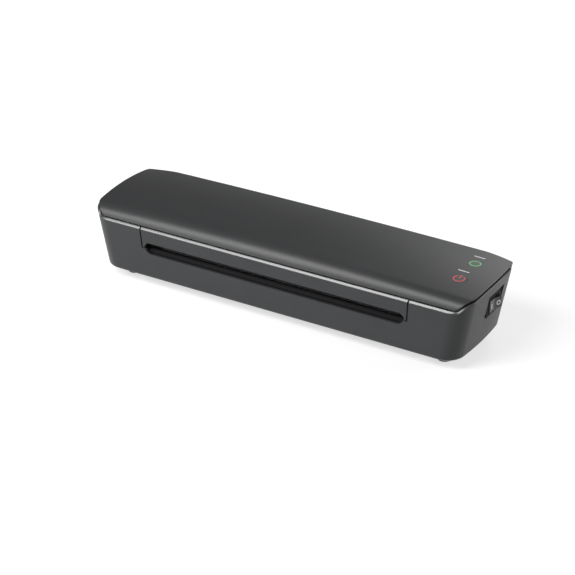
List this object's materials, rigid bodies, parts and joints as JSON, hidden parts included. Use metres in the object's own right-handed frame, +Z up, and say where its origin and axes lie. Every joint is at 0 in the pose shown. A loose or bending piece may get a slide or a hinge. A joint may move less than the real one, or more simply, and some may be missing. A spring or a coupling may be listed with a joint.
{
  "type": "pouch laminator",
  "caption": "Desktop pouch laminator: long charcoal case with arched lid, wide entry slot, rocker switch, lamp windows and a geared pair of heated-path silicone rollers inside.",
  "frame": {"origin": "centre of the footprint at table height", "axes": "+X along the length with the switch end positive, -Y the side the pouch enters, +Z up"},
  "size_m": [0.3632, 0.1, 0.0699],
  "materials": {
    "charcoal_housing": "charcoal moulded plastic, fine satin texture",
    "charcoal_lid": "charcoal moulded plastic, smoother satin",
    "black_guide": "black moulded plastic",
    "lamp_window": "dark tinted window with a printed symbol",
    "switch_black": "black semi-gloss plastic",
    "foot_rubber": "black rubber",
    "zinc_steel": "zinc-plated sheet steel",
    "turned_steel": "turned bright steel",
    "roller_silicone": "red-brown silicone rubber",
    "white_nylon": "natural white nylon",
    "shoe_aluminium": "extruded aluminium",
    "heater_mica": "mica-faced heating strip",
    "board_green": "green circuit board",
    "led_red": "red lamp body",
    "led_green": "green lamp body"
  },
  "bodies": {
    "chassis": {"board_spacer_1": "white_nylon", "board_spacer_2": "white_nylon", "board_spacer_3": "white_nylon", "board_spacer_4": "white_nylon", "case_screw_1": "turned_steel", "case_screw_2": "turned_steel", "case_screw_3": "turned_steel", "case_screw_4": "turned_steel", "control_board": "board_green", "cord_gland": "black_guide", "entry_tray": "black_guide", "foot_front_left": "foot_rubber", "foot_front_right": "foot_rubber", "foot_rear_left": "foot_rubber", "foot_rear_right": "foot_rubber", "front_lip_panel": "charcoal_housing", "lamp_board": "board_green", "lower_bush_left": "white_nylon", "lower_bush_right": "white_nylon", "lower_exit_guide": "black_guide", "lower_heat_shoe": "shoe_aluminium", "lower_heater_strip": "heater_mica", "lower_housing": "charcoal_housing", "motor_bracket": "zinc_steel", "motor_can": "zinc_steel", "motor_gear_case": "zinc_steel", "nip_spring_left": "turned_steel", "nip_spring_right": "turned_steel", "power_led": "led_red", "power_lens": "lamp_window", "ready_led": "led_green", "ready_lens": "lamp_window", "rear_lip_panel": "charcoal_housing", "side_plate_left": "zinc_steel", "side_plate_right": "zinc_steel", "switch_body": "switch_black", "thermal_fuse": "zinc_steel", "thermostat": "black_guide", "tie_bar_front": "turned_steel", "tie_bar_rear": "turned_steel", "top_cover": "charcoal_lid", "upper_entry_guide": "black_guide", "upper_exit_guide": "black_guide", "upper_heat_shoe": "shoe_aluminium", "upper_heater_strip": "heater_mica"},
    "switch_rocker": {"switch_rocker": "switch_black"},
    "lower_roller": {"lower_roller_shaft": "turned_steel", "lower_roller_sleeve": "roller_silicone", "lower_roller_gear": "white_nylon"},
    "nip_carriage": {"upper_bearing_left": "white_nylon", "upper_bearing_right": "white_nylon"},
    "upper_roller": {"upper_roller_shaft": "turned_steel", "upper_roller_sleeve": "roller_silicone", "upper_roller_gear": "white_nylon"},
    "motor_drive": {"motor_output_shaft": "turned_steel", "motor_pinion": "white_nylon"}
  },
  "joints": [
    {"name": "roller_spin", "type": "hinge", "parent": "chassis", "child": "lower_roller", "pos_m": [0, 0.008, 0.027], "axis": [1, 0, 0], "continuous": true},
    {"name": "nip_lift", "type": "slide", "parent": "chassis", "child": "nip_carriage", "axis": [0, 0, 1], "range_m": [0, 0.0008], "stiffness_N_per_m": 3000, "springref_m": -0.002, "deforming": ["nip_spring_left", "nip_spring_right"]},
    {"name": "upper_roller_spin", "type": "hinge", "parent": "nip_carriage", "child": "upper_roller", "pos_m": [0, 0.008, 0.049], "axis": [1, 0, 0], "continuous": true},
    {"name": "motor_spin", "type": "hinge", "parent": "chassis", "child": "motor_drive", "pos_m": [0, -0.00975, 0.03], "axis": [1, 0, 0], "continuous": true},
    {"name": "switch_tilt", "type": "hinge", "parent": "chassis", "child": "switch_rocker", "pos_m": [0.175, 0.004, 0.0435], "axis": [0, 0, 1], "range_deg": [0, 20]}
  ],
  "couplings": [
    {"joint": "upper_roller_spin", "follows": "roller_spin", "ratio": -1},
    {"joint": "motor_spin", "follows": "roller_spin", "ratio": -1.5714}
  ]
}
